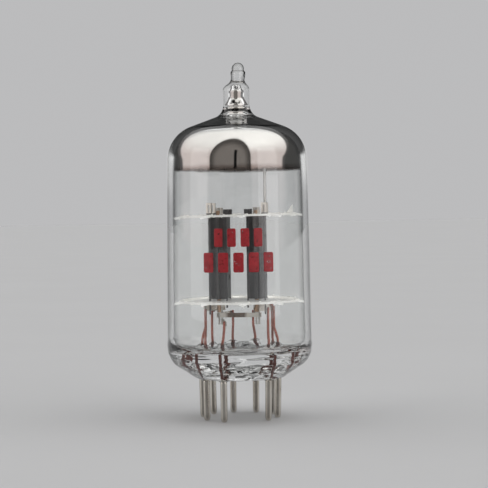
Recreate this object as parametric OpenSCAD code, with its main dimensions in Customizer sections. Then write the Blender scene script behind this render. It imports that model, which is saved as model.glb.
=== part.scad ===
// Miniature nine-pin twin triode: a clear glass bulb with a sealed tip, standing on nine pins.
// Millimetres, +Z up. The origin is on the tube's axis at the level of the pin tips,
// and the wide gap in the ring of pins faces -Y.

/* [Glass bulb] */
// Height of the glass, from its underside to the sealed tip
glass_h = 48.8; // [47:0.1:51]
// Diameter of the bulb just above its foot
bulb_foot_d = 22.4; // [21.8:0.1:23]
// Diameter of the bulb just below its shoulder
bulb_top_d = 21.8; // [21.2:0.1:22.4]
// Thickness of the glass
bulb_wall = 0.9; // [0.7:0.05:1.1]
// Height of the dome with its tip, from the start of the shoulder up
shoulder_h = 15.1; // [14.4:0.1:15.6]
// Rounding of the shoulder
shoulder_round = 5.5; // [4.5:0.1:6.5]
// Slope of the crown between shoulder and tip, in degrees
crown_slope = 20; // [14:1:24]
// Rounding of the foot
foot_round = 3.2; // [2.4:0.1:3.6]
// Slope of the cone under the foot, in degrees
foot_slope = 33; // [26:1:38]
// Rounding of the inside corner where wall and stem meet
seal_round = 1.4; // [0.8:0.1:1.5]

/* [Sealed tip] */
// Diameter of the exhaust tube left on the crown
tip_d = 4.1; // [3.7:0.1:4.6]
// Diameter of the exhaust tube's bore
tip_bore_d = 1.6; // [1.2:0.1:2]
// Rounding where the crown flows into the exhaust tube
tip_flare = 2; // [1.5:0.1:2.4]
// Rounding inside, where the crown flows into the bore
bore_flare = 1.1; // [0.8:0.1:1.6]
// Diameter of the drawn-off nub
nub_d = 2.2; // [2:0.1:2.4]
// Diameter of the crease between the nub and the bead on its end
nub_crease_d = 1.7; // [1.6:0.05:1.8]
// Diameter of the melted bead on the nub's end
nub_bead_d = 1.86; // [1.82:0.02:2]
// Height of the whole nub, from the tube's shoulder to the top
nub_h = 4.2; // [4:0.1:4.6]
// Height over which the exhaust tube narrows to the nub
nub_neck_h = 1.5; // [1.2:0.1:1.7]
// Solid glass between the bore of the exhaust tube and the top
tip_solid = 3.8; // [3.5:0.1:4.2]

/* [Stem and pins] */
// Diameter of the circle through the pins
pin_circle_d = 11.89; // [11.5:0.01:12.3]
// Diameter of one pin
pin_d = 1.016; // [0.9:0.002:1.1]
// Length of a pin below the glass
pin_len = 6.4; // [5.5:0.1:7.2]
// Length of a pin's thinner root inside the glass
pin_root = 0.8; // [0.6:0.1:1.6]
// Step from the pin down to its root, all round
pin_step = 0.18; // [0.16:0.01:0.2]
// Diameter of the pressed glass stem
stem_d = 17.4; // [16.6:0.1:17.8]
// Height of the pressed glass stem
stem_t = 4.2; // [3.6:0.1:4.6]
// Diameter of the flat ring under the stem
stem_flat_d = 13.9; // [13.7:0.1:14.6]
// Diameter of the shallow dish in the middle of the underside
dish_d = 6.4; // [5:0.1:7.5]
// Depth of that dish
dish_depth = 0.5; // [0.3:0.05:0.8]
// Diameter of the glass bead round each lead
bead_d = 1.9; // [1.5:0.05:2.2]
// Height of that bead
bead_h = 1.2; // [0.8:0.1:1.3]

/* [Leads and straps] */
// Diameter of a lead wire
lead_d = 0.4; // [0.36:0.02:0.5]
// Height above its bead at which a lead starts to bend
lead_bend_h = 0.45; // [0.35:0.05:0.6]
// Height that the bend of a lead takes up
lead_bend_len = 1.8; // [1.4:0.1:2]
// Radius of a lead's bends
lead_bend_r = 0.8; // [0.5:0.1:1.2]
// Distance from the axis at which most leads end
lead_top_r = 5.35; // [5.1:0.05:5.6]
// Turn by which a cathode's lead swings clear of the anode tab beside it, in degrees
lead_swing = 13; // [11:1:16]
// Width of a strap
strap_w = 0.7; // [0.5:0.05:0.8]
// Thickness of a strap
strap_t = 0.12; // [0.08:0.02:0.16]
// Length of a strap past the wire that it is welded to
strap_over = 0.35; // [0.2:0.05:0.4]
// Clear height between the straps of one level and those of the next
strap_gap = 0.3; // [0.2:0.05:0.35]
// Clear distance between an anode's lower tab and its lead
anode_lead_gap = 0.17; // [0.1:0.01:0.3]

/* [Mica spacers] */
// Height of the lower spacer above the glass underside
mica_low_h = 11.7; // [11.5:0.1:12.2]
// Clear distance between the two spacers
mica_span = 12.9; // [12.4:0.1:13.4]
// Thickness of a spacer
mica_t = 0.3; // [0.2:0.05:0.4]
// Number of points on a spacer's rim
mica_teeth = 10; // [8:1:12]
// Length of a point
tooth_len = 0.95; // [0.7:0.05:1.2]
// Width of a point at its root
tooth_w = 2.1; // [1.6:0.1:2.6]
// Downward bend of a point, in degrees
tooth_bend = 14; // [6:1:20]
// Turn of the first point from the front of the cage, in degrees
tooth_turn = 7; // [0:1:18]
// Play between a spacer's points and the glass
mica_play = 0.05; // [0.03:0.01:0.15]
// Play of a wire or tab in its hole in a spacer
hole_play = 0.04; // [0.02:0.01:0.08]

/* [Cage] */
// Turn of the whole cage against the ring of pins, in degrees
cage_turn = -15; // [-18:1:-12]
// Distance of each triode's cathode from the tube's axis
triode_offset = 2.9; // [2.7:0.05:3.1]

/* [Anodes] */
// Thickness of the anode box
anode_t = 2.8; // [2.6:0.05:3]
// Width of the anode box without its flanges
anode_box_w = 7.8; // [7.4:0.1:8.2]
// Width of a flange
flange_w = 1; // [0.7:0.05:1.3]
// Thickness of the sheet metal
sheet_t = 0.2; // [0.12:0.02:0.24]
// Chamfer at the box's bent corners
anode_corner = 0.4; // [0.3:0.05:0.5]
// Gap between the anodes and the lower spacer
anode_gap = 0.3; // [0.2:0.05:0.5]
// Number of ribs pressed into each broad face
rib_count = 3; // [2:1:4]
// Radius of the tool that presses a rib
rib_r = 0.6; // [0.5:0.05:0.8]
// Depth of a rib
rib_depth = 0.2; // [0.1:0.02:0.24]
// Distance of a tab from the middle of its face
tab_v = 3; // [2.9:0.05:3.05]
// Width of a tab
tab_w = 1; // [0.8:0.05:1]
// Length of an outer tab beyond its spacer
tab_len = 1.8; // [1.5:0.1:2]
// Length of an inner tab beyond its spacer
tab_short = 0.8; // [0.6:0.1:1.1]
// Width of the slot in an outer upper tab
tab_slot_w = 0.34; // [0.25:0.01:0.4]
// Height of the metal left at each end of that slot
tab_bar = 0.35; // [0.25:0.05:0.5]
// Twist that locks a tab, in degrees
tab_twist = 55; // [30:5:70]
// Width of the shoulder on each side of a lower tab
tab_shoulder = 0.12; // [0.1:0.01:0.2]
// Number of buttons that join the flanges along one side
clinch_count = 3; // [2:1:4]
// Diameter of those buttons
clinch_d = 0.5; // [0.4:0.02:0.6]
// Height of those buttons
clinch_h = 0.14; // [0.08:0.02:0.2]

/* [Grids] */
// Distance of a grid rod from its cathode
rod_v = 2.5; // [2.3:0.05:2.6]
// Diameter of a grid rod
rod_d = 0.6; // [0.5:0.02:0.66]
// Length of a grid rod below the lower spacer
rod_over = 1.5; // [1.45:0.05:1.7]
// Length of a grid rod above the upper spacer
rod_top_over = 0.6; // [0.4:0.05:1]
// Diameter of the grid wire
grid_wire_d = 0.08; // [0.06:0.01:0.1]
// Half the thickness of the wound grid at the cathode
grid_belly = 0.85; // [0.8:0.01:0.87]
// Rise of the grid wire in one turn
grid_pitch = 0.6; // [0.5:0.05:1]

/* [Cathodes and heaters] */
// Diameter of a cathode sleeve
cathode_d = 1.1; // [1:0.05:1.2]
// Thickness of a cathode sleeve
cathode_wall = 0.08; // [0.06:0.01:0.1]
// Length of a cathode sleeve beyond each spacer
cathode_over = 1.05; // [1:0.05:1.15]
// Diameter of the coated heater wire
heater_d = 0.32; // [0.28:0.02:0.34]
// Half the distance between a heater's two legs
heater_leg = 0.22; // [0.2:0.01:0.24]
// Depth of the heater's fold below the top of its sleeve
heater_fold = 0.4; // [0.3:0.1:0.8]

/* [Getter] */
// Height of the silvered wall below the start of the shoulder
flash_h = 1.6; // [0.8:0.1:2.6]
// Thickness of the silvered film
flash_t = 0.06; // [0.04:0.01:0.1]
// Outer diameter of the getter ring
getter_d = 7.6; // [7:0.1:8.4]
// Width and height of the getter ring's channel
getter_ch = 1; // [0.8:0.05:1.2]
// Sheet thickness of that channel
getter_wall = 0.15; // [0.1:0.01:0.2]
// Height of the getter ring above the start of the shoulder
getter_h = 0.1; // [-1:0.1:0.5]
// Diameter of the getter's support wire
post_d = 0.42; // [0.36:0.02:0.5]
// Radius of that wire's bend
post_bend_r = 0.9; // [0.6:0.1:1.1]

/* [Hidden] */
$fn = 64;

// Steps along a curve of the glass profile, and of the nub's narrowing
curve_steps = 12;
neck_steps = 8;
// Straight pieces in one bend of a lead, and in one turn of grid wire
bend_steps = 4;
turn_steps = 16;
// Sides of a lead, and of the much finer grid wire
lead_sides = 12;
grid_sides = 4;
// Pins stand at every tenth of the circle except the one that is left out
pin_pitch = 36;
pins = 9;
// Small length by which a cutting tool passes the face that it cuts
cut = 1;

// Heights, from the pin tips up
seat_z = pin_len;
top_z = seat_z + glass_h;
shoulder_z = top_z - shoulder_h;
stem_top_z = seat_z + stem_t;
mica_low_z = seat_z + mica_low_h;
mica_low_top_z = mica_low_z + mica_t;
mica_high_z = mica_low_top_z + mica_span;
mica_high_top_z = mica_high_z + mica_t;
flash_z = shoulder_z - flash_h;
getter_z = shoulder_z + getter_h;

// Glass radii
foot_r = bulb_foot_d / 2;
top_r = bulb_top_d / 2;
stem_r = stem_d / 2;
stem_flat_r = stem_flat_d / 2;
tip_r = tip_d / 2;
bore_r = tip_bore_d / 2;
nub_r = nub_d / 2;
nub_bead_r = nub_bead_d / 2;
nub_crease_r = nub_crease_d / 2;
// Angle of the crease as seen from the bead's centre
crease_angle = -acos(nub_crease_r / nub_bead_r);
pin_r = pin_d / 2;
root_r = pin_r - pin_step;
pin_circle_r = pin_circle_d / 2;
lead_r = lead_d / 2;
bead_r = bead_d / 2;

// Centre of the foot's rounding, which touches the bulb's wall and the cone below.
// The glass outside the stem limits this rounding and the one inside it.
foot_bend_r = min(foot_round, (foot_r - stem_r) / (1 - sin(foot_slope)));
foot_c_r = foot_r - foot_bend_r;
foot_c_z = cone_z(foot_c_r) + foot_bend_r / cos(foot_slope);
seal_bend_r = min(seal_round, wall_r(stem_top_z + seal_round) - bulb_wall - stem_r);
// Centre of the shoulder's rounding
shoulder_c_r = top_r - shoulder_round;
// Centre of the rounded end of the exhaust tube's bore
bore_end_z = top_z - tip_solid - bore_r;
neck_z = top_z - nub_h;
crease_z = top_z - nub_bead_r + nub_bead_r * sin(crease_angle);

// Cage: n is measured from the joint of the two anode halves, v along their faces
box_half = anode_box_w / 2;
box_depth = anode_t / 2;
face_mid = box_depth - sheet_t / 2;
anode_low_z = mica_low_top_z + anode_gap;
anode_h = mica_high_z - anode_low_z;
rod_r = rod_d / 2;
cathode_r = cathode_d / 2;
post_r = post_d / 2;
heater_r = heater_d / 2;

// Levels of the straps below the lower spacer
cathode_strap_z = mica_low_z - cathode_over;
grid_strap_z = mica_low_z - rod_over;
heater_strap_z = grid_strap_z - strap_gap - strap_w;
tap_strap_z = heater_strap_z - strap_gap - strap_w;
heater_low_z = tap_strap_z - strap_t;

// End of the second anode's lead in the cage's plane
anode_lead = [
    triode_offset + box_depth + strap_t + lead_r,
    -(tab_v + tab_w / 2 + anode_lead_gap + lead_r)
];

// Height of the cone under the foot at radius r
function cone_z(r) = seat_z + (r - stem_flat_r) * tan(foot_slope);
// Outer radius of the tapered wall at height z
function wall_r(z) = foot_r + (top_r - foot_r) * (z - foot_c_z) / (shoulder_z - foot_c_z);
// Points [r, z] of an arc round [cr, cz]
function arc(cr, cz, r, from, to, steps = curve_steps) =
    [for (i = [0:steps]) let (a = from + (to - from) * i / steps) [cr + r * cos(a), cz + r * sin(a)]];
// Height of the centre of a flare from the crown, at a depth in from the outer surface, to a tube of radius r
function flare_c_z(depth, r, flare_r) =
    let (
        crown_r = shoulder_c_r + (shoulder_round - depth) * sin(crown_slope),
        crown_z = shoulder_z + (shoulder_round - depth) * cos(crown_slope)
    )
    crown_z + (crown_r - r - flare_r) * tan(crown_slope) + flare_r / cos(crown_slope);
// Shoulder, crown and flare of the dome, at a depth in from the outer surface
function dome(depth, r, flare_r) = concat(
    arc(shoulder_c_r, shoulder_z, shoulder_round - depth, 0, 90 - crown_slope),
    arc(r + flare_r, flare_c_z(depth, r, flare_r), flare_r, 270 - crown_slope, 180)
);
// Inside of the dome and the exhaust tube, under a film of some thickness
function dome_inside(film) = concat(
    dome(bulb_wall + film, bore_r - film, bore_flare + film),
    arc(0, bore_end_z, bore_r - film, 0, 90)
);
function reversed(list) = [for (i = [len(list) - 1:-1:0]) list[i]];
// A list without its first item
function tail(list) = [for (i = [1:len(list) - 1]) list[i]];
function turned(p, a) = [p[0] * cos(a) - p[1] * sin(a), p[0] * sin(a) + p[1] * cos(a)];
function pin_angle(k) = -90 + pin_pitch * k;
function pin_at(k) = pin_circle_r * [cos(pin_angle(k)), sin(pin_angle(k))];
// Point p of the second triode's side, for triode t: the first triode is half a turn round
function of_triode(p, t) = t == 2 ? p : -p;
// End of lead k in the cage's plane
function lead_end(k) =
    k == 1 ? anode_lead :
    k == 6 ? -anode_lead :
    turned(lead_top_r / pin_circle_r * pin_at(k), -cage_turn - ((k == 3 || k == 8) ? lead_swing : 0));
// Height at which lead k ends: level with the top of the strap that is welded to it
function lead_end_z(k) =
    (k == 3 || k == 8) ? cathode_strap_z + strap_w :
    (k == 4 || k == 5) ? heater_strap_z + strap_w :
    k == 9 ? tap_strap_z + strap_w :
    grid_strap_z + strap_w;
// Replaces the inner points of a path by arcs of radius bend_r
function rounded(points, bend_r) =
    let (last = len(points) - 1)
    concat(
        [points[0]],
        [for (i = [1:last - 1])
            let (
                before = (points[i] - points[i - 1]) / norm(points[i] - points[i - 1]),
                after = (points[i + 1] - points[i]) / norm(points[i + 1] - points[i]),
                bend = acos(before * after),
                aside = after - before * (after * before),
                inward = bend_r * aside / norm(aside),
                start = points[i] - before * bend_r * tan(bend / 2)
            )
            each [for (step = [0:bend_steps])
                let (a = bend * step / bend_steps)
                start + before * bend_r * sin(a) + inward * (1 - cos(a))]],
        [points[last]]
    );
// Points of the flattened helix of grid wire, with a straight piece across each end of the oval
function grid_path(a, b, low, turns) =
    [for (i = [0:turns * turn_steps])
        let (t = (i + 0.5) * 360 / turn_steps)
        [b * sin(t), a * cos(t), low + i * grid_pitch / turn_steps]];

// Sweeps a wire of radius r along a list of points; up is any direction that the wire never takes
module wire(path, r, up, sides) {
    last = len(path) - 1;
    rings = [for (i = [0:last])
        let (
            step = path[min(i + 1, last)] - path[max(i - 1, 0)],
            way = step / norm(step),
            level = up - way * (up * way),
            across = level / norm(level),
            other = cross(way, across)
        )
        each [for (j = [0:sides - 1])
            let (a = 360 * j / sides)
            path[i] + r * (across * cos(a) + other * sin(a))]];
    skin = [for (i = [0:last - 1], j = [0:sides - 1])
        let (k = (j + 1) % sides, here = sides * i, next = here + sides)
        each [[here + j, next + j, here + k], [here + k, next + j, next + k]]];
    ends = [
        [for (j = [0:sides - 1]) j],
        [for (j = [sides - 1:-1:0]) sides * last + j]
    ];
    polyhedron(rings, concat(skin, ends));
}

// A flat strap on edge, laid against the same side of two upright wires
module strap(a, a_r, b, b_r, low, side = 1) {
    along = b - a;
    gap = norm(along);
    lean = side * asin((a_r - b_r) / gap);
    normal = turned(along / gap, side * 90 - lean);
    from = a + normal * a_r;
    run = b + normal * b_r - from;
    translate([from[0], from[1], low])
        rotate(atan2(run[1], run[0]))
            translate([-strap_over, side > 0 ? 0 : -strap_t, 0])
                cube([norm(run) + 2 * strap_over, strap_t, strap_w]);
}

// Puts its children into the cage's frame
module in_cage() {
    rotate(cage_turn) children();
}

// Puts its children at triode t, with n pointing out from the tube's axis
module at_triode(t) {
    in_cage() rotate(t == 2 ? 0 : 180) translate([triode_offset, 0, 0]) children();
}

module bulb() {
    outside = concat(
        [[stem_r, cone_z(stem_r)]],
        arc(foot_c_r, foot_c_z, foot_bend_r, foot_slope - 90, 0),
        dome(0, tip_r, tip_flare),
        [for (i = [0:neck_steps])
            let (share = i / neck_steps)
            [nub_r + (tip_r - nub_r) * (1 + cos(180 * share)) / 2, neck_z + nub_neck_h * share]],
        arc(nub_crease_r, crease_z - (nub_r - nub_crease_r), nub_r - nub_crease_r, 0, 90),
        tail(arc(0, top_z - nub_bead_r, nub_bead_r, crease_angle, 90))
    );
    seal_c_z = stem_top_z + seal_bend_r;
    inside = concat(
        [[stem_r, stem_top_z]],
        arc(wall_r(seal_c_z) - bulb_wall - seal_bend_r, seal_c_z, seal_bend_r, -90, 0),
        dome_inside(0)
    );
    color("aliceblue", 0.3)
        rotate_extrude() polygon(concat(outside, reversed(inside)));
}

module stem_button() {
    bead_section = [for (p = arc(0, 0, 1, -90, 90)) [bead_r * p[0], bead_h * p[1]]];
    color("lightcyan", 0.4)
        difference() {
            union() {
                rotate_extrude()
                    polygon([
                        [0, seat_z + dish_depth],
                        [dish_d / 2 - dish_depth, seat_z + dish_depth],
                        [dish_d / 2, seat_z],
                        [stem_flat_r, seat_z],
                        [stem_r, cone_z(stem_r)],
                        [stem_r, stem_top_z],
                        [0, stem_top_z]
                    ]);
                for (k = [1:pins])
                    translate([pin_at(k)[0], pin_at(k)[1], stem_top_z])
                        rotate_extrude() polygon(bead_section);
            }
            for (k = [1:pins])
                translate([pin_at(k)[0], pin_at(k)[1], 0]) {
                    cylinder(r = root_r, h = seat_z + pin_root);
                    cylinder(r = lead_r, h = stem_top_z + bead_h + cut);
                }
        }
}

module pin(k) {
    color("silver")
        translate([pin_at(k)[0], pin_at(k)[1], pin_r]) {
            sphere(pin_r);
            cylinder(r = pin_r, h = seat_z - pin_r);
            cylinder(r = root_r, h = seat_z + pin_root - pin_r);
        }
}

module lead(k) {
    foot = pin_at(k);
    head = turned(lead_end(k), cage_turn);
    bend_z = stem_top_z + bead_h + lead_bend_h;
    shift = head - foot;
    color("peru")
        wire(rounded([
            [foot[0], foot[1], seat_z + pin_root],
            [foot[0], foot[1], bend_z],
            [head[0], head[1], bend_z + lead_bend_len],
            [head[0], head[1], lead_end_z(k)]
        ], lead_bend_r), lead_r, [-shift[1], shift[0], 0], lead_sides);
}

// A spacer whose underside is at height low
module mica(low) {
    reach = wall_r(low) - bulb_wall - mica_play;
    rim_r = reach - tooth_len * cos(tooth_bend) - mica_t * sin(tooth_bend);
    color("whitesmoke", 0.8)
        in_cage()
            difference() {
                union() {
                    translate([0, 0, low]) cylinder(r = rim_r, h = mica_t);
                    for (i = [0:mica_teeth - 1])
                        rotate(tooth_turn - 90 + i * 360 / mica_teeth)
                            translate([rim_r, 0, low])
                                rotate([0, tooth_bend, 0])
                                    linear_extrude(mica_t)
                                        polygon([
                                            [-tooth_len / 2, -tooth_w / 2],
                                            [tooth_len, 0],
                                            [-tooth_len / 2, tooth_w / 2]
                                        ]);
                }
                for (t = [0, 180])
                    rotate(t) translate([triode_offset, 0, low - cut]) {
                        cylinder(r = cathode_r + hole_play, h = mica_t + 2 * cut);
                        for (v = [-rod_v, rod_v])
                            translate([0, v, 0]) cylinder(r = rod_r + hole_play, h = mica_t + 2 * cut);
                        for (n = [-face_mid, face_mid], v = [-tab_v, tab_v])
                            translate([n, v, mica_t / 2 + cut])
                                cube([
                                    sheet_t + 2 * hole_play,
                                    tab_w + 2 * hole_play,
                                    mica_t + 2 * cut
                                ], center = true);
                    }
            }
}

module mica_bottom() {
    mica(mica_low_z);
}

module mica_top() {
    mica(mica_high_z);
}

// Section through one anode half: a box with chamfered corners between two flanges
module half_section() {
    inner = box_depth - sheet_t;
    wall = box_half - sheet_t;
    bend = anode_corner - sheet_t / 2;
    side = [
        [sheet_t, box_half + flange_w],
        [sheet_t, box_half],
        [box_depth - anode_corner, box_half],
        [box_depth, box_half - anode_corner]
    ];
    hollow = [[inner, wall - bend], [inner - bend, wall], [0, wall], [0, box_half + flange_w]];
    polygon(concat(
        side,
        [for (p = reversed(side)) [p[0], -p[1]]],
        [for (p = reversed(hollow)) [p[0], -p[1]]],
        hollow
    ));
}

// One tab of an anode face, from its shoulder out through a spacer and beyond it, with or without a slot
module tab(length, up, slotted) {
    through = mica_t + (up ? 0 : anode_gap);
    root_z = up ? mica_high_z : anode_low_z;
    way = up ? 1 : -1;
    translate([face_mid, 0, root_z + way * through / 2])
        cube([sheet_t, tab_w, through], center = true);
    translate([face_mid, 0, root_z + way * (through + length / 2)])
        rotate(up ? tab_twist : 0)
            difference() {
                cube([sheet_t, tab_w, length], center = true);
                if (slotted) cube([sheet_t + 2 * cut, tab_slot_w, length - 2 * tab_bar], center = true);
            }
}

module anode_half(outer_tab, clinch) {
    rib_n = box_depth + rib_r - rib_depth;
    rib_half = box_half - anode_corner - rib_r;
    rib_step = anode_h / (rib_count + 1);
    color("dimgray") {
        difference() {
            union() {
                translate([0, 0, anode_low_z]) linear_extrude(anode_h) half_section();
                intersection() {
                    translate([0, -box_half, anode_low_z]) cube([face_mid, anode_box_w, anode_h]);
                    for (i = [1:rib_count])
                        translate([rib_n, 0, anode_low_z + i * rib_step])
                            rotate([90, 0, 0])
                                cylinder(r = rib_r + sheet_t, h = 2 * (rib_half + sheet_t), center = true);
                }
            }
            for (i = [1:rib_count])
                translate([rib_n, 0, anode_low_z + i * rib_step])
                    rotate([90, 0, 0]) cylinder(r = rib_r, h = 2 * rib_half, center = true);
        }
        for (v = [-tab_v, tab_v])
            translate([0, v, 0]) {
                tab(outer_tab ? tab_len : tab_short, true, outer_tab);
                tab(outer_tab ? tab_len : tab_short, false, false);
                // Shoulder that stands on the lower spacer
                translate([face_mid, 0, mica_low_top_z + anode_gap / 2])
                    cube([sheet_t, tab_w + 2 * tab_shoulder, anode_gap], center = true);
            }
        if (clinch)
            for (v = [-1, 1], i = [0:clinch_count - 1])
                translate([
                    sheet_t,
                    v * (box_half + flange_w / 2),
                    anode_low_z + anode_h * (i + 0.5) / clinch_count
                ])
                    rotate([0, 90, 0]) cylinder(d = clinch_d, h = clinch_h, $fn = 24);
    }
}

module anode_outer(t) {
    at_triode(t) anode_half(true, true);
}

module anode_inner(t) {
    at_triode(t) rotate(180) anode_half(false, false);
}

module grid_rods(t) {
    low = mica_low_z - rod_over;
    color("darkgoldenrod")
        at_triode(t)
            for (v = [-rod_v, rod_v])
                translate([0, v, low]) cylinder(r = rod_r, h = mica_high_top_z + rod_top_over - low);
}

module grid_wire(t) {
    wire_r = grid_wire_d / 2;
    reach = (rod_v + rod_r + wire_r) / cos(180 / turn_steps) + wire_r;
    turns = floor((mica_span - 2 * grid_pitch) / grid_pitch);
    low = mica_low_top_z + (mica_span - turns * grid_pitch) / 2;
    color("goldenrod")
        at_triode(t) wire(grid_path(reach, grid_belly, low, turns), wire_r, [0, 0, 1], grid_sides);
}

module cathode(t) {
    low = mica_low_z - cathode_over;
    height = mica_high_top_z + cathode_over - low;
    color("lightgray")
        at_triode(t)
            translate([0, 0, low])
                difference() {
                    cylinder(r = cathode_r, h = height);
                    translate([0, 0, -cut]) cylinder(r = cathode_r - cathode_wall, h = height + 2 * cut);
                }
}

// A hairpin of coated wire inside the cathode sleeve
module heater(t) {
    fold_z = mica_high_top_z + cathode_over - heater_fold - heater_leg - heater_r;
    color("white")
        at_triode(t) {
            for (n = [-heater_leg, heater_leg])
                translate([n, 0, heater_low_z]) cylinder(r = heater_r, h = fold_z - heater_low_z);
            translate([0, 0, fold_z])
                rotate([90, 0, 0])
                    rotate_extrude(angle = 180) translate([heater_leg, 0]) circle(heater_r);
        }
}

// Strap between an anode's lower tab and its lead, flat against both
module anode_strap(t) {
    from = anode_lead[1] - strap_over;
    to = -tab_v + tab_w / 2;
    color("gainsboro")
        in_cage()
            rotate(t == 2 ? 0 : 180)
                translate([triode_offset + box_depth, from, grid_strap_z])
                    cube([strap_t, to - from, strap_w]);
}

module grid_strap(t) {
    color("gainsboro")
        in_cage()
            strap(
                of_triode([triode_offset, -rod_v], t), rod_r,
                lead_end(t == 2 ? 2 : 7), lead_r, grid_strap_z
            );
}

module cathode_strap(t) {
    color("gainsboro")
        in_cage()
            strap(
                of_triode([triode_offset, 0], t), cathode_r,
                lead_end(t == 2 ? 3 : 8), lead_r, cathode_strap_z
            );
}

module heater_strap(t) {
    color("gainsboro")
        in_cage()
            strap(
                of_triode([triode_offset + heater_leg, 0], t), heater_r,
                lead_end(t == 2 ? 4 : 5), lead_r, heater_strap_z, t == 2 ? -1 : 1
            );
}

// Strap that joins the two heaters
module heater_link() {
    leg = [triode_offset - heater_leg, 0];
    color("gainsboro") in_cage() strap(leg, heater_r, -leg, heater_r, heater_strap_z);
}

// Strap from the joined heaters to their own pin
module tap_strap() {
    color("gainsboro")
        in_cage()
            strap([heater_leg - triode_offset, 0], heater_r, lead_end(9), lead_r, tap_strap_z);
}

// Support wire: up from a twisted anode tab, then in under the ring
module getter_post() {
    tab_middle = [triode_offset + face_mid, -tab_v];
    foot = tab_middle + turned([sheet_t / 2 + post_r, 0], tab_twist);
    way = foot / norm(foot);
    head = way * (getter_d / 2 - getter_ch);
    level = getter_z - post_r;
    color("gainsboro")
        in_cage()
            wire(rounded([
                [foot[0], foot[1], mica_high_top_z],
                [foot[0], foot[1], level],
                [head[0], head[1], level]
            ], post_bend_r), post_r, [-way[1], way[0], 0], lead_sides);
}

// Open channel, bent into a ring, that held the getter metal
module getter_ring() {
    inner = getter_d / 2 - getter_ch;
    color("lightgray")
        translate([0, 0, getter_z])
            rotate_extrude()
                difference() {
                    translate([inner, 0]) square([getter_ch, getter_ch]);
                    translate([inner + getter_wall, getter_wall])
                        square([getter_ch - 2 * getter_wall, getter_ch]);
                }
}

// Silvered film on the inside of the dome and of the exhaust tube
module getter_flash() {
    wall_in = wall_r(flash_z) - bulb_wall;
    color("silver")
        rotate_extrude()
            polygon(concat(
                [[wall_in, flash_z]],
                dome_inside(0),
                reversed(dome_inside(flash_t)),
                [[wall_in - flash_t, flash_z]]
            ));
}

bulb();
stem_button();
for (k = [1:9]) {
    pin(k);
    lead(k);
}
mica_bottom();
mica_top();
for (t = [1:2]) {
    anode_outer(t);
    anode_inner(t);
    grid_rods(t);
    grid_wire(t);
    cathode(t);
    heater(t);
    anode_strap(t);
    grid_strap(t);
    cathode_strap(t);
    heater_strap(t);
}
heater_link();
tap_strap();
getter_post();
getter_ring();
getter_flash();
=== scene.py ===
"""Looks of a miniature nine-pin twin triode, built round its fixed frame of solids.

Everything is in metres, +Z up, with the tube's axis on Z and the pin tips at z = 0.
"""

import math
import random

import bpy
from bpy.props import FloatProperty, FloatVectorProperty, IntProperty, PointerProperty
from mathutils import Euler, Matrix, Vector, noise


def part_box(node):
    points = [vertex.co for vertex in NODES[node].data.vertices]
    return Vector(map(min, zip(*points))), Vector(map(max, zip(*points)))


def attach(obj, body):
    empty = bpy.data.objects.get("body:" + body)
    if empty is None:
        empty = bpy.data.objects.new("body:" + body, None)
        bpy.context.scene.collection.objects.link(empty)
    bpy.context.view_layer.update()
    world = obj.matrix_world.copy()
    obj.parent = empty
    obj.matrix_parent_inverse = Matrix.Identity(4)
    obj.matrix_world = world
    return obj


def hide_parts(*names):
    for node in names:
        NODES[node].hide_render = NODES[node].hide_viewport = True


bl_info = {
    "name": "Miniature Twin Triode",
    "version": (1, 0, 0),
    "blender": (4, 5, 0),
    "location": "View3D > Sidebar > Tube",
    "description": "Glass, metal and mica finishes for a nine-pin twin triode",
    "category": "Add Mesh",
}

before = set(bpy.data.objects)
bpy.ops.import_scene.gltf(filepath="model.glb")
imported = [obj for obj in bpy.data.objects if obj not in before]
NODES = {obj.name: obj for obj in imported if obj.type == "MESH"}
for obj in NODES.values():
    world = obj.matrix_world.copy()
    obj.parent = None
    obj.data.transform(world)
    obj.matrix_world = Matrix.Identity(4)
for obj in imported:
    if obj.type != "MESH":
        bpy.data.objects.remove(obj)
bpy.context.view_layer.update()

MM = 0.001
QUARTER = math.pi / 2
PINS = 9


def centre_of(name):
    """Middle of a solid's box."""
    low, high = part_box(name)
    return (low + high) / 2


# Levels and radii that the glass shares with the frame
SEAT_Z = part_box("stem_button")[0].z
SEAM_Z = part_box("bulb")[0].z
STEM_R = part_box("stem_button")[1].x
TOP_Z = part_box("bulb")[1].z
FOOT_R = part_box("bulb")[1].x
FILM_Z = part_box("getter_flash")[0].z
PIN_AT = [centre_of(f"pin_{k}") for k in range(1, PINS + 1)]
PIN_R = (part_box("pin_5")[1].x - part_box("pin_5")[0].x) / 2
MICA_TOP_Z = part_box("mica_top")[1].z

# Points round a turned piece, and the radius under which a ring becomes a single point
GLASS_SEGMENTS = 240
PIN_SEGMENTS = 40
POLE_R = 1e-7
# Seeds of the unevenness of the glass, outside and inside
OUTER_SEED = 3.1
INNER_SEED = 8.4


# ---------------------------------------------------------------- settings


def length_prop(name, description, default):
    """A length that the user can set."""
    return FloatProperty(name=name, description=description, default=default, unit="LENGTH", precision=5)


def angle_prop(name, description, degrees):
    """An angle that the user can set."""
    return FloatProperty(name=name, description=description, default=math.radians(degrees), subtype="ANGLE")


def colour_prop(name, description, default, top=1):
    """A colour that the user can set, with each channel between 0 and top."""
    return FloatVectorProperty(
        name=name, description=description, default=default, size=3, subtype="COLOR", min=0, max=top
    )


def level_prop(name, description, default):
    """A brightness that the user can set, where 1 is white."""
    return FloatProperty(name=name, description=description, default=default, min=0)


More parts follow.
